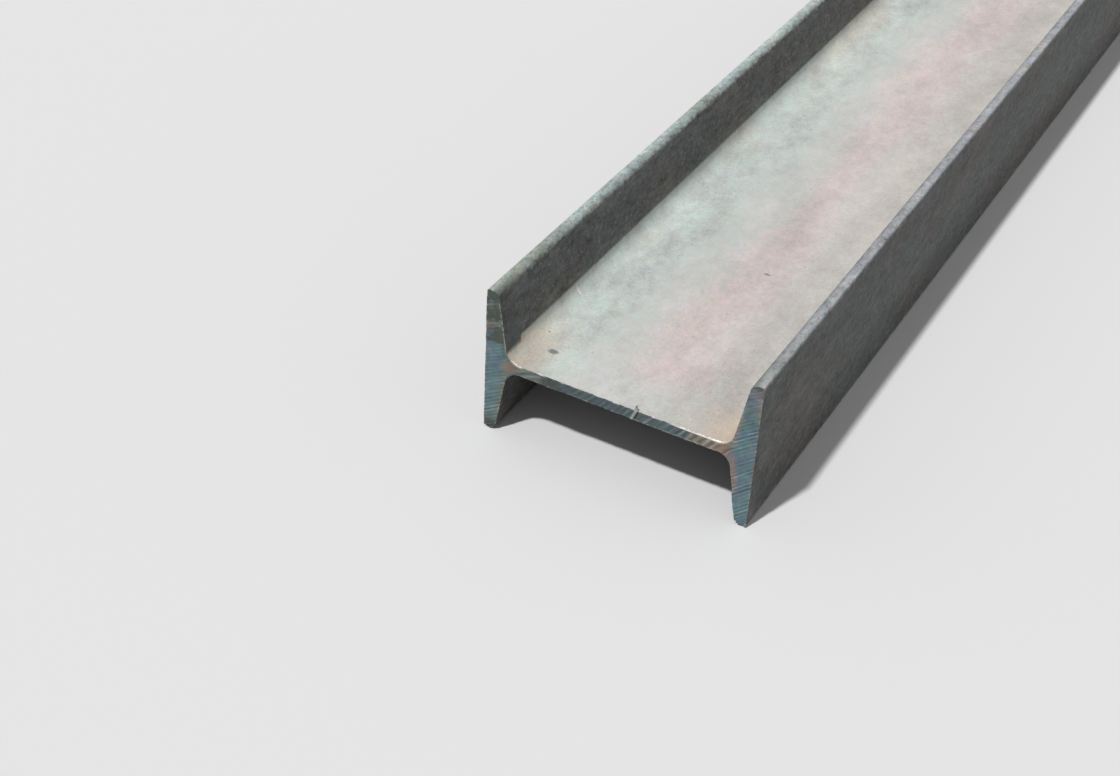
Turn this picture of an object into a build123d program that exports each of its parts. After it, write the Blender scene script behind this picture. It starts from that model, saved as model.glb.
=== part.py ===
from build123d import *
import os

# Hot-rolled steel I-beam with tapered flanges, one sawn length of stock.
# It lies as it is stacked: the web is level and the two flanges stand on their edges.
# X runs across the section from flange to flange, Y along the length and Z up.
# The origin is the middle of the footprint, on the ground.

# Sizes of the rolled section, in millimetres
section_depth = 140.0  # over the outer faces of the two flanges
flange_width = 80.0  # from toe to toe, so the height of the beam as it lies
web_thickness = 5.5
flange_thickness = 9.1  # gauged halfway between the web's face and the toe
flange_taper = 1 / 6  # how much the flange thickens for each millimetre from toe to web
root_radius = 7.5  # the hollow where a flange's inner face meets the web
toe_radius = 3.8  # the rounding at the inner side of each toe
arris_radius = 1.0  # the small rounding that rolling leaves on the outer corners

# Length of the stock, sawn square at both ends
stock_length = 6000.0

# The most of a toe's thickness that its two roundings may take together
toe_share = 0.9

half_depth = section_depth / 2
half_width = flange_width / 2
half_web = web_thickness / 2

# The gauge point lies halfway out, so the taper adds as much at the web as it takes at the toe
overhang = half_width - half_web
taper_step = flange_taper * overhang / 2
root_thickness = flange_thickness + taper_step
toe_thickness = flange_thickness - taper_step
toe_rounding = min(toe_radius, toe_share * toe_thickness - arris_radius)


def quarter_section():
    """One quarter of the section: half a web, half a flange and one toe."""
    web_corner = (half_depth - root_thickness, half_web)
    toe_corner = (half_depth - toe_thickness, half_width)
    outer_corner = (half_depth, half_width)
    with BuildSketch() as quarter:
        with BuildLine():
            Polyline(
                (0, 0),
                (0, half_web),
                web_corner,
                toe_corner,
                outer_corner,
                (half_depth, 0),
                close=True,
            )
        make_face()
        for corner, radius in (
            (web_corner, root_radius),
            (toe_corner, toe_rounding),
            (outer_corner, arris_radius),
        ):
            fillet(quarter.vertices().sort_by_distance(corner)[0], radius)
    return quarter.sketch


def rolled_section():
    """The whole section, the quarter turned over both of its centre lines."""
    with BuildSketch() as section:
        add(quarter_section())
        mirror(about=Plane.YZ)
        mirror(about=Plane.XZ)
    return section.sketch


def i_beam():
    """The section run along the length, raised so that its flange edges stand on the ground."""
    section_plane = Plane(origin=(0, 0, half_width), x_dir=(1, 0, 0), z_dir=(0, -1, 0))
    with BuildPart() as beam:
        with BuildSketch(section_plane):
            add(rolled_section())
        extrude(amount=stock_length / 2, both=True)
    return beam.part


os.makedirs("parts", exist_ok=True)
export_step(i_beam(), "parts/i_beam.step")
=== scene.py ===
import math
from contextlib import contextmanager

import bmesh
import bpy
from bpy.props import FloatProperty, FloatVectorProperty, PointerProperty
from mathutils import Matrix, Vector


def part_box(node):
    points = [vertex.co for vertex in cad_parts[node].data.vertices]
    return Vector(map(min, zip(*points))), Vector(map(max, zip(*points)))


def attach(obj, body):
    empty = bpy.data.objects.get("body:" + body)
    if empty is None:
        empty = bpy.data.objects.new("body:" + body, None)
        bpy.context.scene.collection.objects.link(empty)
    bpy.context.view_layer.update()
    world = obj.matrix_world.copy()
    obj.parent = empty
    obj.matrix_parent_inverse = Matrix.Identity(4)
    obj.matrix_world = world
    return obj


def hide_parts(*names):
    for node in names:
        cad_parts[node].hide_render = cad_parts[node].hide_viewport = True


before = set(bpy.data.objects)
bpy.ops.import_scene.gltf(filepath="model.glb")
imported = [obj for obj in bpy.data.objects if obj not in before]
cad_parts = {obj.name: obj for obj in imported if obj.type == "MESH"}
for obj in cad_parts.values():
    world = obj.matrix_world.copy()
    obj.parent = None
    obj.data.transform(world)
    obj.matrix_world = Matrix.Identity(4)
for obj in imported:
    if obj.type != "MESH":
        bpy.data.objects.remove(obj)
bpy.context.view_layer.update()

bl_info = {
    "name": "Rolled Steel Beam",
    "version": (1, 0, 0),
    "blender": (4, 5, 0),
    "location": "3D View > Sidebar > Steel Beam",
    "description": "Rolls a tapered flange I-beam with sawn ends, mill scale, dust and rust",
    "category": "Object",
}

# The fixed model's box, and the beam's own lowest and highest corners, in metres
beam_low, beam_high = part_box("i_beam")

MM = 0.001
SLACK = 0.01 * MM

# The last stretch of each end has a finer mesh than the stations between the ends
FINE_ZONE = 3.0 * MM
CLOSE_CUTS = (0.6 * MM, 1.3 * MM, 2.1 * MM)
STATION_GAP = 60 * MM
SQUARES_IN_HALF_WEB = 6

# Points within so many millimetres of an end belong to its cut
END_SLACK = 0.05

# Facets of each rounding, and the angle past which an edge stays sharp
ROOT_FACETS = 10
TOE_FACETS = 7
ARRIS_FACETS = 3
SHARP_ANGLE = math.radians(38)

# The torn tag's foot, and its steps up: lean in millimetres, and share of the width that is left
TAG_HALF_WIDTH = 0.9 * MM
TAG_DEPTH = 1.3 * MM
TAG_STEPS = ((0.1, 0.72), (-0.25, 0.62), (0.45, 0.4))

# How steeply the saw's strokes climb to the right, seen from outside the end
LEFT_CLIMB = 0.50
LOW_WEB_CLIMB = 0.55
WEB_CLIMB = 1.00
RIGHT_CLIMB = 0.80

# Millimetres across the web where its strokes steepen, and how much wider apart they are there
WEB_TURN = -38
WEB_SPREAD = 1.9

# Small marks on the web by the near cut: place across, distance from the cut, half width and
# half length in millimetres, and strength
DARK_MARKS = (
    (-44.3, 19.8, 2.6, 1.9, 0.85),
    (13.4, 137, 1.8, 0.7, 0.85),
    (-53.6, 32.5, 0.7, 0.6, 0.6),
)
PALE_MARKS = ((-57.2, 67.5, 1.6, 0.9, 0.75), (-61.0, 92, 0.9, 0.7, 0.75))

# Clouds never darken a skin below this share of its brightness
LEAST_SHARE = 0.2

# How the surfaces take light, from 0 to 1
SCALE_SPECULAR = 0.28
SAWN_SPECULAR = 0.4
SAWN_METALLIC = 0.25
FLOOR_SPECULAR = 0.1
FLOOR_ROUGHNESS = 0.9

# The floor's width in metres, the key light's place, and the way that it shines
FLOOR_WIDTH = 60
KEY_PLACE = (-1.0, -5.0, 3.0)
KEY_TRAVEL = Vector((5.85, 19, -35))

# The camera stands beyond the near end, to the right of the beam, and looks down along it
CAMERA_PLACE = Vector((0.2882, -0.6047, 0.5520))  # metres from the middle of the near end's footing
CAMERA_TURN = (53.082, -2.575, 29.634)  # degrees about X, Y and Z
SENSOR_WIDTH = 36.0  # millimetres
NEAREST_SEEN = 0.01  # metres


# Settings


def length_value(name, text, size, soft_max=0.1):
    """A size setting, shown in the scene's units."""
    return FloatProperty(
        name=name, description=text, default=size, min=0.0, soft_max=soft_max, precision=5, unit="LENGTH"
    )


def share_value(name, text, share, low=0.0, high=1.0):
    """A plain number setting."""
    return FloatProperty(name=name, description=text, default=share, min=low, max=high, precision=3)


def colour_value(name, text, colour):
    """A colour setting, in linear light."""
    return FloatVectorProperty(
        name=name, description=text, default=colour, min=0.0, max=1.0, size=3, subtype="COLOR"
    )


class RolledSizes(bpy.types.PropertyGroup):
    """The section and length of the rolled beam."""

    length: length_value("Length", "From sawn end to sawn end", beam_high.y - beam_low.y, 12.0)
    depth: length_value("Depth", "Over the outer faces of the flanges", beam_high.x - beam_low.x, 0.6)
    flange_width: length_value("Flange width", "From toe to toe", beam_high.z - beam_low.z, 0.3)
    web_thickness: length_value("Web thickness", "Thickness of the web", 0.0055)
    flange_thickness: length_value("Flange thickness", "Gauged halfway out along the flange", 0.0091)
    flange_taper: share_value("Flange taper", "Rise of the inner face from toe to web", 1 / 6)
    root_radius: length_value("Root radius", "Hollow between web and flange", 0.0075)
    toe_radius: length_value("Toe radius", "Rounding inside each toe", 0.0038)
    arris_radius: length_value("Arris radius", "Rounding of the outer corners", 0.001)


class SawnEndSizes(bpy.types.PropertyGroup):
    """The relief that the saw leaves on the two ends."""

    stroke_pitch: length_value("Stroke pitch", "Height from one saw stroke to the next", 0.0021)
    stroke_depth: length_value("Stroke depth", "Depth of a saw stroke", 0.00016)
    cut_recess: length_value("Cut recess", "How far the cut lies behind the highest burr", 0.0002)
    burr_height: length_value("Burr height", "How far the rim's burr stands out sideways", 0.00045)
    turned_rim: length_value("Turned rim", "How far the web's upper rim is turned over", 0.0007)
    curled_burr: length_value("Curled burr", "How far the burr stands out inside one flange", 0.0004)
    chip_depth: length_value("Chip depth", "How far the toes are broken at the cut", 0.0016)
    tag_height: length_value("Tag height", "Height of the torn tag on the web", 0.0034)
    tag_across: FloatProperty(
        name="Tag place",
        description="Where the torn tag stands across the web",
        default=0.0102,
        unit="LENGTH",
    )


class FinishColours(bpy.types.PropertyGroup):
    """Colours of the mill scale, its dust and rust, and the sawn steel."""

    scale: colour_value("Mill scale", "Bare mill scale on the upright faces", (0.106, 0.112, 0.112))
    scale_brown: colour_value("Brown scale", "Warmer scale in patches", (0.128, 0.112, 0.098))
    bloom: colour_value("Bloom", "Pale bloom on the faces that look up", (0.6, 0.6, 0.578))
    bloom_beige: colour_value("Beige bloom", "Warmer bloom on one side", (0.56, 0.534, 0.5))
    bloom_pink: colour_value("Pink bloom", "Rosy band along the web", (0.64, 0.548, 0.53))
    bloom_teal: colour_value("Teal bloom", "Cool patches on the other side", (0.535, 0.606, 0.575))
    tan: colour_value("Tan", "Thin rust near the cut and the roots", (0.59, 0.475, 0.365))
    toe: colour_value("Toe", "Greenish grey of the toes", (0.43, 0.508, 0.495))
    toe_violet: colour_value("Violet toe", "Violet grey of the toes", (0.362, 0.376, 0.4))
    toe_grime: colour_value("Toe grime", "Brown grime of toes by the cuts", (0.2, 0.2, 0.13))
    olive: colour_value("Olive grime", "Oily grime at the cut", (0.088, 0.104, 0.082))
    # Pale fresh steel of burrs and scratches; on the cut's rims it also paints the burrs' highlight
    pale_steel_and_glint: colour_value("Burr gleam", "Fresh pale steel of the burrs", (0.85, 0.82, 0.77))
    smudge: colour_value("Smudge", "Dark marks on the web", (0.17, 0.185, 0.165))
    sawn: colour_value("Sawn steel", "Blue grey of the cut steel", (0.153, 0.254, 0.294))
    sawn_pale: colour_value("Pale stroke", "Lighter strokes of the saw", (0.318, 0.382, 0.405))
    sawn_grey: colour_value("Grey cut", "Greyer steel high on the flanges", (0.205, 0.235, 0.258))
    # Dark steel of the web's cut; this colour also paints the burr's shadow on the left root near each
    # cut
    dark_cut_and_shadow: colour_value("Dark cut", "Oily steel of the cut web and one root", (0.102, 0.138, 0.145))
    sawn_green: colour_value("Green cut", "Greenish film near one root", (0.215, 0.242, 0.205))
    sawn_beige: colour_value("Beige cut", "Warm film near the other root", (0.375, 0.302, 0.252))
    sawn_rust: colour_value("Root rust", "Brown rust of the cut at the roots", (0.345, 0.245, 0.19))


class StageLook(bpy.types.PropertyGroup):
    """Light, floor and camera."""

    sun_strength: share_value("Sun", "Strength of the key light", 2.45, 0.0, 10.0)
    sun_softness: FloatProperty(
        name="Sun softness", description="Angle that the key light fills", default=0.05, subtype="ANGLE"
    )
    sky_strength: share_value("Sky", "Strength of the even light", 0.30, 0.0, 2.0)
    floor_shade: share_value("Floor", "Paleness of the floor as seen", 0.80)
    floor_return: share_value("Floor return", "Paleness of the floor as a light source", 0.35)
    backdrop_shade: share_value("Backdrop", "Paleness behind the floor, to match it", 0.79)
    lens: FloatProperty(
        name="Lens", description="Focal length on a 36 mm sensor", default=59.27, unit="CAMERA"
    )


# Working out the section


class Section:
    """Lengths of the rolled section that follow from its driving sizes, in metres."""

    def __init__(self, sizes):
        self.half_length = sizes.length / 2
        self.half_depth = sizes.depth / 2
        self.half_width = sizes.flange_width / 2
        self.half_web = sizes.web_thickness / 2
        self.overhang = self.half_width - self.half_web
        step = sizes.flange_taper * self.overhang / 2
        self.root_thickness = sizes.flange_thickness + step
        self.toe_thickness = sizes.flange_thickness - step
        self.web_corner = self.half_depth - self.root_thickness
        self.toe_corner = self.half_depth - self.toe_thickness
        blunt = math.pi / 2 + math.atan(sizes.flange_taper)
        self.root_radius = sizes.root_radius
        self.root_reach = sizes.root_radius / math.tan(blunt / 2)
        self.toe_reach = sizes.toe_radius / math.tan(blunt / 2)
        self.near_end = -self.half_length
        self.middle = Vector((0, self.near_end, self.half_width))


# Edit mode helpers


@contextmanager
def editing(piece):
    """Work on one piece in edit mode, with nothing else selected."""
    bpy.ops.object.select_all(action="DESELECT")
    piece.select_set(True)
    bpy.context.view_layer.objects.active = piece
    bpy.ops.object.mode_set(mode="EDIT")
    yield
    bpy.ops.object.mode_set(mode="OBJECT")


def choose(piece, kind, wanted):
    """Select the vertices, edges or faces that pass a test on their middle and themselves."""
    bpy.ops.mesh.select_mode(type=kind)
    bpy.ops.mesh.select_all(action="DESELECT")
    form = bmesh.from_edit_mesh(piece.data)
    if kind == "VERT":
        parts = [(part.co, part) for part in form.verts]
    elif kind == "EDGE":
        parts = [(edge_middle(part), part) for part in form.edges]
    else:
        parts = [(part.calc_center_median(), part) for part in form.faces]
    found = [part for at, part in parts if not part.hide and wanted(at, part)]
    for part in found:
        part.select_set(True)
    form.select_flush_mode()
    bmesh.update_edit_mesh(piece.data)
    if not found:
        raise RuntimeError(f"{piece.name}: no {kind.lower()} was found to work on")


def same(first, second):
    """Whether two lengths agree."""
    return abs(first - second) < SLACK


def edge_middle(edge):
    """The point halfway along an edge."""
    return (edge.verts[0].co + edge.verts[1].co) / 2


def runs_along(edge):
    """Whether an edge runs along the beam."""
    line = edge.verts[1].co - edge.verts[0].co
    return abs(line.y) > 0.99 * line.length


def extrude_edges(move):
    """Draw the selected edges out into faces."""
    bpy.ops.mesh.extrude_edges_move(TRANSFORM_OT_translate={"value": move})


def extrude_faces(move):
    """Draw the selected faces out into a solid."""
    bpy.ops.mesh.extrude_region_move(TRANSFORM_OT_translate={"value": move})


def cut(place, facing):
    """Cut everything that shows in edit mode along one plane."""
    bpy.ops.mesh.select_all(action="SELECT")
    bpy.ops.mesh.bisect(plane_co=place, plane_no=facing, threshold=5 * SLACK)


# The beam's mesh


def draw_section(piece, section):
    """Shape the sheet at the near end into web, flanges and tapered toes, as one flat face."""
    middle = section.middle
    bpy.ops.transform.resize(
        value=(2 * section.web_corner, 1, 2 * section.half_web), center_override=middle
    )
    for side in (-1, 1):
        choose(piece, "EDGE", lambda at, edge: at.x * side > section.web_corner - SLACK)
        extrude_edges((side * section.root_thickness, 0, 0))
    for side in (-1, 1):
        choose(
            piece,
            "EDGE",
            lambda at, edge: (at.z - middle.z) * side > section.half_web - SLACK
            and abs(at.x) > section.web_corner + SLACK,
        )
        extrude_edges((0, 0, side * section.overhang))
    choose(
        piece,
        "VERT",
        lambda at, corner: abs(at.z - middle.z) > section.half_width - SLACK
        and abs(at.x) < section.half_depth - SLACK,
    )
    taper = section.toe_corner / section.web_corner
    bpy.ops.transform.resize(value=(taper, 1, 1), center_override=middle)
    bpy.ops.mesh.select_all(action="SELECT")
    bpy.ops.mesh.dissolve_faces(use_verts=False)


def roll_long_edges(piece, section, sizes):
    """Round the roots, the insides of the toes and the outer arrises along the whole length."""
    for across, height, reach, facets in (
        (section.web_corner, section.half_web, section.root_reach, ROOT_FACETS),
        (section.toe_corner, section.half_width, section.toe_reach, TOE_FACETS),
        (section.half_depth, section.half_width, sizes.arris_radius, ARRIS_FACETS),
    ):
        choose(
            piece,
            "EDGE",
            lambda at, edge: runs_along(edge)
            and same(abs(at.x), across)
            and same(abs(at.z - section.middle.z), height),
        )
        bpy.ops.mesh.bevel(
            offset=reach, offset_type="OFFSET", segments=facets, profile=0.5, clamp_overlap=False
        )


def cut_stations(section):
    """Cross cuts along the length: close at the two ends, wide apart between them."""
    gaps = [*CLOSE_CUTS, FINE_ZONE]
    station = STATION_GAP
    while station < section.half_length:
        gaps.append(station)
        station += STATION_GAP
    for gap in gaps:
        for side in (-1, 1):
            cut((0, side * (section.half_length - gap), 0), (0, 1, 0))
    cut((0, 0, 0), (0, 1, 0))


def grid_the_ends(piece, section):
    """Cut the last few millimetres of both ends into small squares, for the saw's relief."""
    step = section.half_web / SQUARES_IN_HALF_WEB
    choose(piece, "FACE", lambda at, face: abs(at.y) > section.half_length - FINE_ZONE)
    bpy.ops.mesh.hide(unselected=True)
    half_rows = int(section.half_width / step)
    for row in range(-half_rows, half_rows + 1):
        height = section.middle.z + (row + 0.5) * step
        if SLACK < height < 2 * section.half_width - SLACK:
            cut((0, 0, height), (0, 0, 1))
    half_columns = int(section.half_depth / step)
    for column in range(-half_columns, half_columns + 1):
        across = (column + 0.5) * step
        if abs(across) < section.half_depth - SLACK:
            cut((across, 0, 0), (1, 0, 0))
    bpy.ops.mesh.reveal(select=False)


def raise_torn_tag(piece, section, saw):
    """Pull up the small tag that the saw tore from the web's upper edge at the near end."""
    top = section.middle.z + section.half_web
    choose(
        piece,
        "FACE",
        lambda at, face: face.normal.z > 0.9
        and same(at.z, top)
        and abs(at.x - saw.tag_across) < TAG_HALF_WIDTH
        and at.y < section.near_end + TAG_DEPTH,
    )
    lift = saw.tag_height / len(TAG_STEPS)
    centre = Vector((saw.tag_across, section.near_end, top))
    for lean, width_left in TAG_STEPS:
        move = Vector((lean * MM, 0, lift))
        extrude_faces(move)
        centre += move
        bpy.ops.transform.resize(value=(width_left, 0.8, 1), center_override=centre)


def assign_sawn_faces(piece, section):
    """Give the cut faces at both ends the second material."""
    top = section.middle.z + section.half_web
    choose(
        piece,
        "FACE",
        lambda at, face: (abs(at.y) > section.half_length - SLACK and abs(face.normal.y) > 0.9)
        or (
            at.y < section.near_end + FINE_ZONE
            and abs(at.x) < section.web_corner / 2
            and at.z > top + SLACK
        ),
    )
    piece.active_material_index = 1
    bpy.ops.object.material_slot_assign()


# Fields on node trees


class Field:
    """A value on a node tree that changes over the beam. Fields add and multiply like numbers."""

    def __init__(self, tree, socket):
        self.tree = tree
        self.socket = socket

    def math(self, operation, *others):
        return arithmetic(self.tree, operation, self, *others)

    def __add__(self, other):
        return self.math("ADD", other)

    def __sub__(self, other):
        return self.math("SUBTRACT", other)

    def __mul__(self, other):
        return self.math("MULTIPLY", other)

    def __truediv__(self, other):
        return self.math("DIVIDE", other)

    def __rsub__(self, other):
        return arithmetic(self.tree, "SUBTRACT", other, self)

    __radd__ = __add__
    __rmul__ = __mul__

    def least(self, other):
        return self.math("MINIMUM", other)

    def most(self, *others):
        """The largest of several fields."""
        largest = self
        for other in others:
            largest = largest.math("MAXIMUM", other)
        return largest

    def size(self):
        return self.math("ABSOLUTE")

    def below(self, limit):
        return self.math("LESS_THAN", limit)

    def lifted(self, floor):
        """A field of 0 to 1, squeezed to run from a floor to 1."""
        return self * (1 - floor) + floor

    def fade(self, start, end):
        """0 at start and 1 at end, smoothly between them."""
        node = add_node(self.tree, "ShaderNodeMapRange", interpolation_type="SMOOTHSTEP")
        feed(node.inputs["Value"], self)
        node.inputs["From Min"].default_value = start
        node.inputs["From Max"].default_value = end
        return Field(self.tree, node.outputs["Result"])

    def between(self, low, high, soft):
        """1 from low to high, fading out over a soft border."""
        return self.fade(low - soft, low + soft) * self.fade(high + soft, high - soft)


def add_node(tree, kind, **settings):
    """A new node with its settings."""
    node = tree.nodes.new(kind)
    for name, value in settings.items():
        setattr(node, name, value)
    return node


def feed(socket, value):
    """Link a field to a socket, or set a plain value on it."""
    if isinstance(value, Field):
        value.tree.links.new(value.socket, socket)
    else:
        socket.default_value = value


def arithmetic(tree, operation, *values):
    """One step of arithmetic on fields or plain numbers."""
    node = add_node(tree, "ShaderNodeMath", operation=operation)
    for socket, value in zip(node.inputs, values):
        feed(socket, value)
    return Field(tree, node.outputs[0])


def vector_step(tree, operation, *values):
    """One vector operation on fields or plain triples."""
    node = add_node(tree, "ShaderNodeVectorMath", operation=operation)
    for socket, value in zip(node.inputs, values):
        feed(socket, value)
    return Field(tree, node.outputs["Vector"])


def join(x, y, z):
    """A vector field from its three parts."""
    node = add_node(x.tree, "ShaderNodeCombineXYZ")
    for socket, value in zip(node.inputs, (x, y, z)):
        feed(socket, value)
    return Field(x.tree, node.outputs[0])


def split(vector):
    """The three parts of a vector field."""
    node = add_node(vector.tree, "ShaderNodeSeparateXYZ")
    feed(node.inputs[0], vector)
    return [Field(vector.tree, output) for output in node.outputs]


def cloud(place, lump, stretch=(1, 1, 1), detail=2.0, seed=0.0, roughness=0.5, coloured=False):
    """Soft random field around a half, with lumps of so many millimetres."""
    tree = place.tree
    scale = [1 / (lump * longer) for longer in stretch]
    spot = vector_step(tree, "MULTIPLY_ADD", place, scale, (seed * 7.3, seed * 3.1, seed * 5.7))
    node = add_node(tree, "ShaderNodeTexNoise")
    feed(node.inputs["Vector"], spot)
    node.inputs["Scale"].default_value = 1.0
    node.inputs["Detail"].default_value = detail
    node.inputs["Roughness"].default_value = roughness
    return Field(tree, node.outputs["Color" if coloured else "Fac"])


def tint(factor, under, over):
    """Lay one colour over another where the factor is 1."""
    tree = factor.tree
    node = add_node(tree, "ShaderNodeMix", data_type="RGBA")
    feed(node.inputs[0], factor)
    feed(node.inputs[6], paint(under))
    feed(node.inputs[7], paint(over))
    return Field(tree, node.outputs[2])


def lay(under, *films):
    """Lay films, each a factor and a colour, over a colour in turn."""
    for factor, over in films:
        under = tint(factor, under, over)
    return under


def paint(colour):
    """A colour with its fourth channel, unless it is a field."""
    return colour if isinstance(colour, Field) else (*colour, 1.0)


def shade(colour, brightness):
    """Make a colour field darker or lighter."""
    return vector_step(colour.tree, "MULTIPLY", colour, join(brightness, brightness, brightness))


def vary_hue(colour, hues, strength):
    """Shift each channel of a colour field by a coloured cloud."""
    gain = vector_step(colour.tree, "MULTIPLY_ADD", hues, (strength,) * 3, (1 - strength / 2,) * 3)
    return vector_step(colour.tree, "MULTIPLY", colour, gain)


# Lengths of the section that a place has too, in millimetres
WHOLE_MEASURES = ("half_length", "half_depth", "half_width")
PART_MEASURES = ("half_web", "web_corner", "root_thickness", "root_radius")


class BeamPlace:
    """Where a point lies on the beam, as fields in millimetres.

    round runs to the right, seen from outside the nearer end, and rise runs up from the web's
    middle. outward and off_middle are their sizes. end_gap is the distance from the nearer cut.
    """

    def __init__(self, tree, position, section):
        self.tree = tree
        self.taper = (section.root_thickness - section.toe_thickness) / section.overhang
        for name in WHOLE_MEASURES + PART_MEASURES:
            setattr(self, name, getattr(section, name) / MM)
        self.here = vector_step(tree, "MULTIPLY", position, (1 / MM,) * 3)
        self.across, self.along, self.up = split(self.here)
        self.end_side = self.along.math("SIGN")
        self.end_gap = self.half_length - self.along.size()
        self.round = self.across * self.end_side * -1
        self.rise = self.up - self.half_width
        self.off_middle = self.rise.size()
        self.outward = self.across.size()

    def over_left_root(self):
        """0 over the web, rising to 1 over the left flange's root."""
        return self.round.fade(-50, -56)

    def on_left_flange(self):
        """1 over the cut of the left flange."""
        return self.round.fade(-54, -59)

    def saw_line(self):
        """Height of a point's saw stroke. Strokes climb to the right, wider apart over the web."""
        low_web = self.round.most(-self.web_corner).least(WEB_TURN) * LOW_WEB_CLIMB
        web = self.round.most(WEB_TURN).least(self.web_corner) * WEB_CLIMB
        left = (self.round + self.web_corner).least(0) * LEFT_CLIMB
        right = (self.round - self.web_corner).most(0) * RIGHT_CLIMB
        nearness = 1 - self.outward.fade(self.web_corner + 2, self.web_corner - 2) * (1 - 1 / WEB_SPREAD)
        return self.rise * nearness - (low_web + web) / WEB_SPREAD - left - right

    def from_outside(self):
        """Distance in from the outer face of the nearer flange."""
        return self.half_depth - self.outward

    def from_inside(self):
        """Distance in from the tapered inner face of the nearer flange, negative over the web."""
        in_flange = self.root_thickness - (self.off_middle - self.half_web) * self.taper
        return in_flange - self.from_outside()

    def rim_gap(self):
        """Roughly how far a point of the cut face is from the section's outline."""
        from_web = self.half_web - self.off_middle
        from_toe = self.half_width - self.off_middle
        web_part = (from_web + self.root_radius).most(0)
        flange_part = (self.from_inside() + self.root_radius).most(0)
        rounded = (web_part * web_part + flange_part * flange_part).math("SQRT") - self.root_radius
        return rounded.least(self.from_outside()).least(from_toe)

    def near(self, across, rise, reach, soft):
        """1 around a point of the cut face, seen from outside, within its reach."""
        side = self.round - across
        height = self.rise - rise
        distance = (side * side + height * height).math("SQRT")
        return (distance - reach).fade(soft, 0)


# Relief of the ends and the rolled faces


class Strokes:
    """The saw's strokes over a cut face. The relief and the colours share them."""

    def __init__(self, place, saw):
        line = place.saw_line()
        wobble = cloud(place.here, 38, detail=0, seed=5) * 3.5
        count = line / (saw.stroke_pitch / MM) + wobble
        self.wave = (count * math.tau).math("SINE")
        number = (count + 0.25).math("FLOOR")
        which = join(number * 0.73, place.round / 13, place.end_side * 9)
        weight = cloud(which, 1.0, detail=1, seed=4).fade(0.38, 0.62)
        worn = cloud(place.here, 13, detail=2, seed=9).fade(0.36, 0.54)
        calm_root = place.over_left_root() * place.rise.fade(-12, -4) * 0.72
        calm_low = place.round.fade(-56, -60) * place.rise.fade(-5, -14) * 0.32
        calm_web = place.round.between(-41, -26, 3).most(place.round.between(-60, 12, 4) * 0.55)
        calm_web = calm_web.most(place.round.fade(28, 36) * 0.2) * place.off_middle.fade(6, 4) * 0.8
        smeared = place.rise.fade(14, 24) * 0.8
        calm_tip = place.rise.fade(-31, -35) * 0.5
        calm = calm_root.most(calm_low, calm_web, smeared, calm_tip)
        self.strength = weight.lifted(0.15) * worn.lifted(0.35) * (1 - calm)
        short_lumps = join(line, place.round / 4, place.end_side * 21)
        long_lumps = join(line, place.round / 9, place.end_side * 5)
        self.broad = cloud(short_lumps, 2.6, detail=2, seed=6)
        self.fine = cloud(long_lumps, 0.7, detail=2, seed=24)

    def bright(self):
        """Pale tops and fine pale lines."""
        return (self.wave.fade(0.45, 1.0) * 0.9 + self.fine.fade(0.54, 0.70) * 0.6) * self.strength

    def dark(self):
        """Dark bottoms and fine dark lines."""
        return self.wave.fade(0.1, -0.9) * self.strength * 0.45 + self.fine.fade(0.45, 0.3) * 0.2


def turned_rim(place):
    """1 where the saw turned the web's upper rim over; its colour there paints a highlight over pale
    fresh steel.
    """
    right = place.round.fade(24, 34)
    left = place.round.between(-56, -50, 1.5) * place.rise.fade(6, 4.5)
    elsewhere = cloud(place.here, 7, detail=2, seed=3).fade(0.55, 0.66) * 0.6
    return (right.most(left) + elsewhere).least(1)


def tag_line(place, saw):
    """Distance sideways from the torn ridge that runs down the web's cut below the tag."""
    return place.round - saw.tag_across / MM - (place.rise - place.half_web) * 0.4


def long_burr(place):
    """Long stretches of the rim where the burr is higher."""
    return cloud(place.here, 14, detail=1, seed=3).fade(0.42, 0.62)


def rim_burr(place, saw, on_rim, side_x):
    """How far the burr stands out round the cuts, curled inside the left flange."""
    ragged = cloud(place.here, 1.3, detail=2, seed=2).fade(0.42, 0.75)
    burr = on_rim * (ragged * 0.6 + long_burr(place) * 0.55) * (saw.burr_height / MM)
    looks_in = (side_x * place.across.math("SIGN")).fade(-0.4, -0.8)
    curl = on_rim * looks_in * place.over_left_root() * place.rise.fade(8, 11)
    return burr.most(curl * ragged.lifted(0.7) * (saw.curled_burr / MM))


def cut_depth(place, saw, on_rim, side_z):
    """How far a point of the cut lies in: strokes, dish, torn ridge and turned rim."""
    strokes = Strokes(place, saw)
    grooves = (strokes.wave * 0.5 + 0.5) * strokes.strength * (saw.stroke_depth / MM)
    dish = cloud(place.here, 16, detail=1, seed=7) * 0.25
    lip = on_rim * long_burr(place) * 0.12
    ridge = tag_line(place, saw).size().fade(0.9, 0.1) * place.off_middle.fade(3.2, 2.7)
    on_web = place.outward.fade(place.web_corner + 2, place.web_corner)
    turned = on_rim * side_z.fade(0.5, 0.9) * on_web * turned_rim(place) * (saw.turned_rim / MM)
    return (saw.cut_recess / MM + grooves + dish - lip - ridge * 0.5).most(0) + turned


def toe_chips(place, saw):
    """How far the toes are broken off at the cuts, the lower ones more."""
    broken = cloud(place.here, 1.8, detail=3, seed=8).fade(0.36, 0.66)
    low = place.rise.fade(5, -5)
    tip = place.off_middle.fade(place.half_width - 5.5, place.half_width)
    by_cut = place.end_gap.fade(2.6, 0)
    return broken * tip * by_cut * low.lifted(0.3) * (saw.chip_depth / MM)


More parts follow.
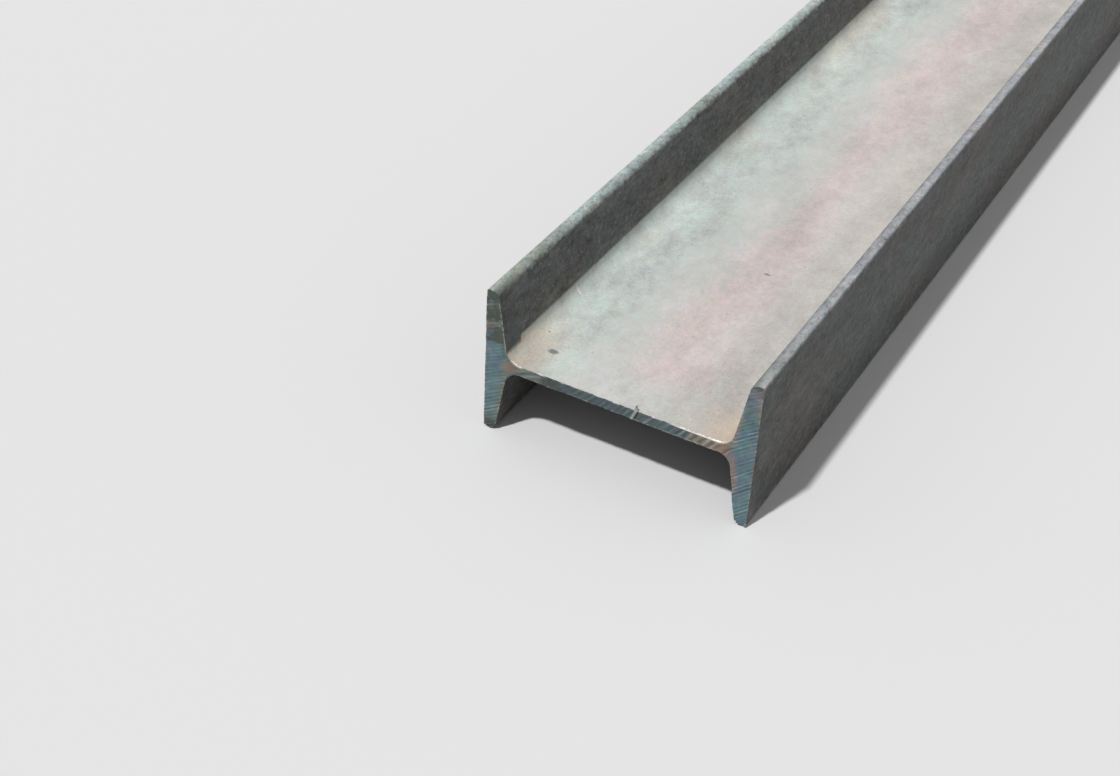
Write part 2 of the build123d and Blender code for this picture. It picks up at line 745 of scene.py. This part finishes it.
def relief_nodes(section, saw):
    """Node tree that moves points in for rolling waves, saw strokes and chips, and out for burrs."""
    tree = bpy.data.node_groups.new("beam relief", "GeometryNodeTree")
    for way in ("INPUT", "OUTPUT"):
        tree.interface.new_socket("Geometry", in_out=way, socket_type="NodeSocketGeometry")
    source = add_node(tree, "NodeGroupInput")
    result = add_node(tree, "NodeGroupOutput")
    position = Field(tree, add_node(tree, "GeometryNodeInputPosition").outputs[0])
    normal = Field(tree, add_node(tree, "GeometryNodeInputNormal").outputs[0])
    place = BeamPlace(tree, position, section)

    sideways = vector_step(tree, "NORMALIZE", vector_step(tree, "MULTIPLY", normal, (1, 0, 1)))
    side_x, _, side_z = split(sideways)
    on_end = place.end_gap.below(END_SLACK)
    on_rim = on_end * (side_x.size() + side_z.size()).fade(0.2, 0.5)

    waves = cloud(place.here, 230, stretch=(0.4, 1, 0.4), detail=3, seed=1) * 0.35
    inward = rim_burr(place, saw, on_rim, side_x) - waves
    recess = on_end * cut_depth(place, saw, on_rim, side_z)
    chips = place.rise.math("SIGN") * toe_chips(place, saw)
    move = join(side_x * inward, place.end_side * recess * -1, side_z * inward - chips)
    moved = vector_step(tree, "MULTIPLY_ADD", move, (MM,) * 3, position)
    moved = vector_step(tree, "MAXIMUM", moved, tuple(beam_low))
    moved = vector_step(tree, "MINIMUM", moved, tuple(beam_high))
    shift = add_node(tree, "GeometryNodeSetPosition")
    tree.links.new(source.outputs[0], shift.inputs["Geometry"])
    feed(shift.inputs["Position"], moved)
    tree.links.new(shift.outputs[0], result.inputs[0])
    return tree


# Materials


def new_material(name, metallic, specular):
    """A material, with its tree and its shader."""
    material = bpy.data.materials.new(name)
    material.use_nodes = True
    tree = material.node_tree
    shader = tree.nodes["Principled BSDF"]
    shader.inputs["Metallic"].default_value = metallic
    shader.inputs["Specular IOR Level"].default_value = specular
    return material, tree, shader


def bump(shader, height):
    """Relief too fine for the mesh: a height field in millimetres."""
    tree = height.tree
    node = add_node(tree, "ShaderNodeBump")
    node.inputs["Strength"].default_value = 1.0
    node.inputs["Distance"].default_value = MM
    feed(node.inputs["Height"], height)
    tree.links.new(node.outputs[0], shader.inputs["Normal"])


class Weather:
    """Clouds of several sizes that the finishes share."""

    def __init__(self, here):
        self.grain = cloud(here, 1.0, detail=3, seed=11, roughness=0.65)
        self.speck = cloud(here, 2.4, stretch=(1, 1.5, 1), detail=3, seed=12)
        self.mottle = cloud(here, 6, stretch=(1, 1.6, 1), detail=3, seed=13)
        self.blotch = cloud(here, 17, stretch=(1, 2, 1), detail=3, seed=14)
        self.drift = cloud(here, 40, stretch=(1, 2.2, 1), detail=3, seed=15)
        self.streak = cloud(here, 2.4, stretch=(1, 25, 1), detail=2, seed=16)
        self.hues = cloud(here, 5, stretch=(1, 1.4, 1), detail=4, seed=17, coloured=True)

    def spread(self, grain=0.0, speck=0.0, mottle=0.0, blotch=0.0, drift=0.0, streak=0.0):
        """A brightness around 1, with so much of each cloud in it."""
        total = 1 - (grain + speck + mottle + blotch + drift + streak) / 2
        brightness = self.grain * grain + self.speck * speck + self.mottle * mottle
        return brightness + self.blotch * blotch + self.drift * drift + self.streak * streak + total


def web_marks(place, marks):
    """Small rough marks on the web by the near cut, each as strong as its last figure."""
    edge = cloud(place.here, 1.4, detail=2, seed=31) * 0.9 + 0.55
    spots = []
    for across, from_cut, wide, long, strength in marks:
        side = (place.across - across) / wide
        ahead = (place.along + place.half_length - from_cut) / long
        distance = (side * side + ahead * ahead).math("SQRT")
        spots.append((distance / edge).fade(1.25, 0.7) * strength)
    return spots[0].most(*spots[1:])


def web_colour(place, weather, colours, across):
    """Colours of the web's skin: beige, a rosy band, teal patches, and tan rust by the roots."""
    rosy = across.between(-5, 23, 11) * place.end_gap.fade(12, 36)
    patchy = (weather.mottle * 0.45 + weather.blotch * 0.55).fade(0.34, 0.64) * 0.5 + 0.42
    by_root = (place.web_corner - place.outward).fade(26, 3)
    near_rust = by_root * place.end_gap.fade(42, 6) * weather.mottle.fade(0.32, 0.6).lifted(0.25)
    far_rust = by_root * weather.drift.fade(0.52, 0.66) * 0.35
    return lay(
        colours.bloom,
        (across.fade(14, 36), colours.bloom_beige),
        (rosy * 0.9, colours.bloom_pink),
        (across.fade(-10, -40) * patchy, colours.bloom_teal),
        ((near_rust + far_rust).least(1) * 0.85, colours.tan),
    )


def web_bloom(place, weather, colours):
    """Pale skin of the faces that look up: cloudier by one flange, with small marks."""
    across = place.across + (weather.drift - 0.5) * 50 + (weather.mottle - 0.5) * 16
    bloom = vary_hue(web_colour(place, weather, colours, across), weather.hues, 0.11)
    by_left = across.fade(-22, -36)
    lively = weather.spread(grain=0.44, speck=0.25, mottle=0.30, blotch=0.40, drift=0.45) - 1
    lumps = (weather.mottle + weather.blotch - 1) * 0.22
    lively = lively + by_left * ((weather.grain - 0.5) * 0.25 + lumps)
    bloom = shade(bloom, 1 + lively * (1 - across.between(-30, -10, 6) * 0.3))
    dark = web_marks(place, DARK_MARKS)
    pale = web_marks(place, PALE_MARKS)
    return lay(bloom, (dark, colours.smudge), (pale, colours.pale_steel_and_glint))


def bare_scale(place, weather, colours):
    """Dark skin of the upright faces and the underside: smeared, flecked, with paler borders."""
    here = place.here
    smear = cloud(here, 4.5, stretch=(1, 2.5, 1), detail=4, seed=19, roughness=0.6)
    bare = tint(weather.drift.fade(0.44, 0.62) * 0.6, colours.scale, colours.scale_brown)
    border = place.off_middle.fade(26, 37).most(place.off_middle.fade(18, 12))
    bare = tint(border * 0.045, bare, colours.toe)
    bare = vary_hue(bare, weather.hues, 0.2)
    uneven = weather.spread(grain=1.6, speck=1.3, mottle=0.8, blotch=0.8, streak=0.3)
    bare = shade(bare, (uneven + (smear - 0.5) * 1.5).most(LEAST_SHARE))
    flecks = cloud(here, 1.8, stretch=(1, 1.4, 1), detail=3, seed=20).fade(0.56, 0.72)
    return tint(flecks * 0.2, bare, colours.bloom)


def toe_skin(place, weather, colours):
    """Rubbed skin of the toes: greenish on one flange, violet on the other, soiled by the cuts, with
    painted shade on their inner rounding.
    """
    greenish = (place.across * 0.02 + (weather.drift - 0.5) * 5).fade(0.9, -0.9)
    soiled = place.end_gap.fade(85, 45) * weather.mottle.fade(0.38, 0.6).lifted(0.45)
    stained = weather.blotch.fade(0.46, 0.34) * 0.5
    inner_half = place.from_outside().fade(1.5, 4.5)
    oily = (place.end_gap * (1.6 - greenish * 0.6)).fade(34, 4) * inner_half
    oily = oily * weather.speck.fade(0.4, 0.58).lifted(0.3)
    toe = lay(
        colours.toe_violet,
        (greenish, colours.toe),
        (weather.blotch.fade(0.54, 0.70) * 0.3, colours.tan),
        (soiled.most(stained) * (greenish * 0.42 + 0.16), colours.toe_grime),
        (oily * 0.5, colours.olive),
    )
    toe = vary_hue(toe, weather.hues, 0.25)
    # Painted shade: darker towards the inside of each toe, where its rounding turns away from the light
    toe = shade(toe, 1 - place.from_outside().fade(2.4, 4.8) * 0.15)
    uneven = weather.spread(grain=1.5, speck=1.1, mottle=0.8, blotch=0.6, drift=0.4)
    return shade(toe, uneven.most(LEAST_SHARE))


def mill_scale(section, colours):
    """Rolled skin of the beam, from its three kinds of face."""
    material, tree, shader = new_material("rolled mill scale", 0.0, SCALE_SPECULAR)
    coordinates = add_node(tree, "ShaderNodeTexCoord")
    place = BeamPlace(tree, Field(tree, coordinates.outputs["Object"]), section)
    upward = split(Field(tree, coordinates.outputs["Normal"]))[2]
    here = place.here
    weather = Weather(here)
    # Painted shadow of the curled burr on the left root's fillet near each cut: it holds the pale bloom
    # lower there and darkens the scale with the dark cut colour
    painted_burr_shadow = place.over_left_root() * place.rise.fade(2, 4) * place.end_gap.fade(14.6, 13.4)
    bloom_edge = place.off_middle + (weather.speck - 0.5) * 1.6 + painted_burr_shadow * 2.3
    lying = upward.fade(0.05, 0.15) * bloom_edge.fade(10.7, 8.7)
    burr_shadow_tint = painted_burr_shadow * place.rise.fade(26, 14) * 0.35
    bare = tint(burr_shadow_tint, bare_scale(place, weather, colours), colours.dark_cut_and_shadow)
    skin = tint(lying, bare, web_bloom(place, weather, colours))
    ragged_edge = place.off_middle + (weather.speck - 0.5) * 2.5
    on_toe = ragged_edge.fade(place.half_width - 3.0, place.half_width - 0.5)
    skin = tint(on_toe, skin, toe_skin(place, weather, colours))
    pits = cloud(here, 1.9, detail=4, seed=21, roughness=0.65).fade(0.64, 0.72)
    skin = shade(skin, 1 - pits * 0.4)
    feed(shader.inputs["Base Color"], skin)

    feed(shader.inputs["Roughness"], 0.56 + 0.1 * lying + weather.grain * 0.12)
    pitted = cloud(here, 2.6, stretch=(1, 1.4, 1), detail=4, seed=22, roughness=0.6) * (1 - lying)
    bump(shader, pitted * 0.95 + weather.grain * 0.09 + weather.streak * 0.04)
    return material


def cut_web_film(place, mottle, colours, steel):
    """Films on the cut web: green and olive by the left root, beige by the right one."""
    on_web = place.outward.fade(place.web_corner + 1, place.web_corner - 3)
    across = place.round + (mottle - 0.5) * 16
    return lay(
        steel,
        (on_web * 0.92, colours.dark_cut_and_shadow),
        (on_web * across.fade(0, 26) * 0.3, colours.sawn_grey),
        (on_web * across.fade(-36, -46) * 0.85, colours.sawn_green),
        (on_web * across.between(-41, -29, 4) * 0.75, colours.olive),
        (on_web * across.fade(32, 42) * 0.85, colours.sawn_beige),
    )


def low_inner_strip(place, mottle):
    """1 along the inner border of a cut flange's lower half."""
    ragged_height = place.rise + (mottle - 0.5) * 20
    return place.from_inside().fade(4.4, 1.2) * ragged_height.fade(0.5, -3.5)


def toe_cap(place, speck):
    """1 at the very top of a cut flange, with a ragged border."""
    return (place.rise + (speck - 0.5) * 2).fade(37, 38.4)


def left_bands(place, speck, mottle, colours, steel):
    """Bands high on the left cut flange: grime, a blue patch, rust, green film and grey."""
    band = place.rise + (mottle - 0.5) * 9 + (speck - 0.5) * 3 - (place.round + 66) * 0.2
    outer_half = place.round.fade(-65, -67.5)
    blue_patch = band.between(13.9, 17.4, 0.8) * outer_half * 0.7
    grime = place.on_left_flange() * band.fade(10, 12) * (1 - blue_patch)
    rusty = (mottle.fade(0.40, 0.52) * 0.45 + 0.3) * place.round.fade(-64, -66)
    greyer = band.between(30, 36.5, 2) * speck.fade(0.32, 0.5) * (outer_half * 0.4 + 0.1)
    return lay(
        steel,
        (grime * 0.95, colours.olive),
        (grime * band.between(16.8, 20.3, 0.7) * rusty, colours.sawn_rust),
        (grime * band.between(20.2, 23.2, 0.6) * 0.95, colours.sawn_green),
        (grime * greyer, colours.sawn_grey),
    )


def left_flange_film(place, speck, mottle, colours, steel):
    """Films on the left cut flange: bands high up, green low inside, olive tips."""
    on_left = place.on_left_flange()
    by_edge = place.from_inside().fade(3.6, 1.6) * place.rise.between(4, 14, 2)
    tip = place.rise - (speck - 0.5) * 5
    green_strip = low_inner_strip(place, mottle) * 0.85 * tip.fade(-34, -30)
    return lay(
        left_bands(place, speck, mottle, colours, steel),
        (on_left * by_edge * 0.4, colours.olive),
        (on_left * green_strip.most(tip.fade(-29.5, -32.5) * 0.7), colours.sawn_green),
        (on_left * tip.fade(-31, -36.5) * 0.95, colours.olive),
        (on_left * toe_cap(place, speck) * 0.9, colours.olive),
    )


def right_flange_film(place, speck, mottle, colours, steel):
    """Films on the right cut flange: grey high up, an olive cap, and pinkish borders."""
    on_right = place.round.fade(55, 60)
    ragged_height = place.rise + (mottle - 0.5) * 20
    outer_strip = place.from_outside().fade(2.8, 0.6) * place.rise.between(23, 40, 2)
    low_strip = low_inner_strip(place, mottle) * place.rise.fade(-25, -15)
    high_strip = place.from_inside().fade(2.4, 0.6) * place.rise.between(4, 22, 3)
    return lay(
        steel,
        (on_right * ragged_height.fade(14, 30) * 0.85, colours.sawn_grey),
        (on_right * toe_cap(place, speck) * 0.55, colours.olive),
        (on_right * outer_strip * 0.4, colours.sawn_beige),
        (on_right * low_strip.most(high_strip * 0.8) * 0.85, colours.sawn_beige),
    )


def root_rust(place, speck, mottle):
    """1 where the cut rusts: at the two roots, and along the rim beside them."""
    roots = place.near(55.8, 0.5, 1.4, 3.2).most(place.near(-57.2, 0.5, 1.5, 3.2))
    beside_root = place.off_middle.fade(24, 12) * place.outward.fade(50, 54)
    seams = place.rim_gap().fade(1.1, 0.2) * beside_root
    patchy_roots = roots * speck.fade(0.35, 0.55).lifted(0.4)
    return patchy_roots.most(seams * mottle.fade(0.35, 0.55) * 0.8)


def tag_light_and_shade(place, saw, colours, steel):
    """Painted highlight along the torn ridge on the web's cut below the tag, and a painted shadow beside
    it.
    """
    beside_tag = tag_line(place, saw)
    # Painted shadow: a dark line beside the torn ridge
    painted_tag_shadow = beside_tag.between(0.9, 1.7, 0.25) * place.off_middle.fade(3.4, 2.8)
    steel = shade(steel, 1 - painted_tag_shadow * 0.85)
    # Painted highlight on the torn ridge, in pale green and bloom
    ridge = beside_tag.size().fade(0.9, 0.4) * place.outward.fade(20, 16)
    return lay(steel, (ridge * 0.7, colours.sawn_green), (ridge * 0.45, colours.bloom))


def cut_rims(place, speck, colours, steel):
    """Rims of the cut: tan by the roots, and pale steel with a painted highlight where the burr is
    turned, torn or curled.
    """
    on_top = place.rise.fade(0, 1)
    overhang = place.rim_gap().fade(1.7, 0.9) * place.outward.between(50, 57, 1.5) * on_top
    rim = place.rim_gap().fade(0.75, 0.35)
    turned = rim * on_top * place.outward.fade(place.web_corner + 1, place.web_corner)
    high_left = place.round.fade(-55, -58) * place.rise.fade(6, 10)
    inner_rim = place.from_inside().fade(0.7, 0.3) * high_left
    curled = inner_rim * (speck.fade(0.4, 0.55) * 0.2 + 0.04)
    torn = rim * speck.fade(0.50, 0.62) * 0.2
    # The last two films paint highlights on the burrs, over their pale fresh steel
    return lay(
        steel,
        (overhang * 0.7, colours.tan),
        (turned * turned_rim(place), colours.pale_steel_and_glint),
        (torn.most(curled), colours.pale_steel_and_glint),
    )


def sawn_steel(section, saw, colours):
    """Cut ends: blue grey steel with saw strokes, oily films and rust, painted light and shade at the
    torn tag, and pale turned rims with painted highlights.
    """
    material, tree, shader = new_material("sawn steel", SAWN_METALLIC, SAWN_SPECULAR)
    coordinates = add_node(tree, "ShaderNodeTexCoord")
    place = BeamPlace(tree, Field(tree, coordinates.outputs["Object"]), section)
    here = place.here
    strokes = Strokes(place, saw)
    grain = cloud(here, 0.9, detail=3, seed=25, roughness=0.6)
    speck = cloud(here, 2.5, detail=3, seed=26)
    mottle = cloud(here, 5, detail=3, seed=27)
    hues = cloud(here, 6, detail=3, seed=28, coloured=True)

    steel = tint(mottle.fade(0.40, 0.75) * 0.3, colours.sawn, colours.sawn_pale)
    steel = cut_web_film(place, mottle, colours, steel)
    steel = left_flange_film(place, speck, mottle, colours, steel)
    steel = right_flange_film(place, speck, mottle, colours, steel)
    warm = place.near(-58.8, 0, 1.2, 4).most(place.near(58.8, 6, 0.8, 3.4))
    rust = root_rust(place, speck, mottle)
    bright = strokes.bright()
    steel = lay(
        steel,
        (warm * 0.5, colours.sawn_beige),
        (rust * 0.85, colours.sawn_rust),
        (bright * (1 - rust * 0.8) * 0.3, colours.sawn_pale),
    )
    steel = vary_hue(steel, hues, 0.5)
    patches = grain * 0.4 + speck * 0.32 + mottle * 0.3
    patches = patches + (strokes.broad - 0.5) * (strokes.strength * 1.1 + 0.3)
    patches = patches + place.rise.fade(12, 22) * ((speck - 0.5) * 0.5 + (mottle - 0.5) * 0.6)
    steel = shade(steel, (1 + bright * 0.55 - strokes.dark()) * (0.41 + patches * 0.82))

    steel = tag_light_and_shade(place, saw, colours, steel)
    steel = cut_rims(place, speck, colours, steel)
    feed(shader.inputs["Base Color"], steel)
    feed(shader.inputs["Roughness"], 0.45 + rust * 0.25 + mottle * 0.12)
    bump(shader, strokes.wave * strokes.strength * -0.05 + strokes.fine * 0.12 + grain * 0.08)
    return material


# Operators


class STEELBEAM_OT_roll_beam(bpy.types.Operator):
    """Make the rolled beam with its sawn ends and give it its two finishes"""

    bl_idname = "steelbeam.roll_beam"
    bl_label = "Roll beam"

    def execute(self, context):
        sizes = context.scene.beam_sizes
        saw = context.scene.beam_saw
        colours = context.scene.beam_colours
        section = Section(sizes)
        bpy.ops.object.select_all(action="DESELECT")
        bpy.ops.mesh.primitive_plane_add(size=1, location=section.middle, rotation=(math.pi / 2, 0, 0))
        beam = context.object
        beam.name = "rolled_beam"
        beam.data.name = "rolled_beam"
        bpy.ops.object.transform_apply(location=True, rotation=True, scale=True)
        beam.data.materials.append(mill_scale(section, colours))
        beam.data.materials.append(sawn_steel(section, saw, colours))
        with editing(beam):
            bpy.ops.mesh.select_all(action="SELECT")
            draw_section(beam, section)
            bpy.ops.mesh.select_all(action="SELECT")
            extrude_faces((0, sizes.length, 0))
            bpy.ops.mesh.select_all(action="SELECT")
            bpy.ops.mesh.normals_make_consistent(inside=False)
            roll_long_edges(beam, section, sizes)
            cut_stations(section)
            grid_the_ends(beam, section)
            raise_torn_tag(beam, section, saw)
            assign_sawn_faces(beam, section)
        relief = beam.modifiers.new("Relief", "NODES")
        relief.node_group = relief_nodes(section, saw)
        bpy.ops.object.modifier_apply(modifier=relief.name)
        bpy.ops.object.shade_smooth_by_angle(angle=SHARP_ANGLE)
        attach(beam, "root")
        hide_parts("i_beam")
        return {"FINISHED"}


class STEELBEAM_OT_set_stage(bpy.types.Operator):
    """Lay the floor, hang the lights and place the camera"""

    bl_idname = "steelbeam.set_stage"
    bl_label = "Set stage"

    def execute(self, context):
        look = context.scene.beam_stage
        lay_floor(look)
        hang_key_light(look)
        light_sky(context.scene, look)
        place_camera(context.scene, look)
        return {"FINISHED"}


def viewing_rays(tree):
    """1 for the camera's own rays, and 1 for those that go by way of gloss or glass."""
    rays = add_node(tree, "ShaderNodeLightPath")
    own = Field(tree, rays.outputs["Is Camera Ray"])
    glossy = Field(tree, rays.outputs["Is Glossy Ray"])
    through_glass = Field(tree, rays.outputs["Is Transmission Ray"])
    return own, glossy.most(through_glass)


def floor_finish(look):
    """The floor's material: pale to the eye, and dimmer for the light that it returns."""
    material, tree, shader = new_material("studio floor", 0.0, FLOOR_SPECULAR)
    shader.inputs["Roughness"].default_value = FLOOR_ROUGHNESS
    own, mirrored = viewing_rays(tree)
    colour = tint(own.most(mirrored), [look.floor_return] * 3, [look.floor_shade] * 3)
    feed(shader.inputs["Base Color"], colour)
    return material


def lay_floor(look):
    """A wide pale floor under the beam."""
    bpy.ops.object.select_all(action="DESELECT")
    bpy.ops.mesh.primitive_plane_add(size=FLOOR_WIDTH)
    floor = bpy.context.object
    floor.name = "studio_floor"
    floor.data.materials.append(floor_finish(look))


def hang_key_light(look):
    """One soft key light from the front left."""
    bpy.ops.object.light_add(type="SUN", location=KEY_PLACE)
    key = bpy.context.object
    key.name = "key_light"
    key.data.energy = look.sun_strength
    key.data.angle = look.sun_softness
    key.rotation_euler = KEY_TRAVEL.to_track_quat("-Z", "Y").to_euler()


def light_sky(scene, look):
    """An even sky, as pale as the floor to the camera, and white in gloss."""
    world = bpy.data.worlds.new("studio")
    scene.world = world
    world.use_nodes = True
    tree = world.node_tree
    background = tree.nodes["Background"]
    own, mirrored = viewing_rays(tree)
    strength = (own * look.backdrop_shade).most(mirrored, look.sky_strength)
    feed(background.inputs["Strength"], strength)
    background.inputs["Color"].default_value = (1, 1, 1, 1)


def place_camera(scene, look):
    """The photo's camera."""
    stand = CAMERA_PLACE + Vector((0, beam_low.y, beam_low.z))
    turn = [math.radians(angle) for angle in CAMERA_TURN]
    bpy.ops.object.camera_add(location=stand, rotation=turn)
    camera = bpy.context.object
    camera.data.sensor_fit = "HORIZONTAL"
    camera.data.sensor_width = SENSOR_WIDTH
    camera.data.lens = look.lens
    camera.data.clip_start = NEAREST_SEEN
    scene.camera = camera
    scene.view_settings.view_transform = "Standard"


SETTINGS = {
    "beam_sizes": ("Section", RolledSizes),
    "beam_saw": ("Sawn ends", SawnEndSizes),
    "beam_colours": ("Colours", FinishColours),
    "beam_stage": ("Stage", StageLook),
}


class STEELBEAM_PT_panel(bpy.types.Panel):
    """Sizes, colours and steps of the beam."""

    bl_label = "Steel Beam"
    bl_idname = "STEELBEAM_PT_panel"
    bl_space_type = "VIEW_3D"
    bl_region_type = "UI"
    bl_category = "Steel Beam"

    def draw(self, context):
        layout = self.layout
        scene = context.scene
        for setting, (title, group) in SETTINGS.items():
            box = layout.box()
            box.label(text=title)
            for name in group.__annotations__:
                box.prop(getattr(scene, setting), name)
        layout.operator(STEELBEAM_OT_roll_beam.bl_idname)
        layout.operator(STEELBEAM_OT_set_stage.bl_idname)


classes = [group for title, group in SETTINGS.values()]
classes += [STEELBEAM_OT_roll_beam, STEELBEAM_OT_set_stage, STEELBEAM_PT_panel]


def register():
    """Add the settings, operators and panel to Blender."""
    for item in classes:
        bpy.utils.register_class(item)
    for setting, (title, group) in SETTINGS.items():
        setattr(bpy.types.Scene, setting, PointerProperty(type=group, name=title))


def unregister():
    """Take them out again."""
    for setting in SETTINGS:
        delattr(bpy.types.Scene, setting)
    for item in reversed(classes):
        bpy.utils.unregister_class(item)


def main():
    """Build the beam and its stage."""
    register()
    bpy.ops.steelbeam.roll_beam()
    bpy.ops.steelbeam.set_stage()


if __name__ == "__main__":
    main()
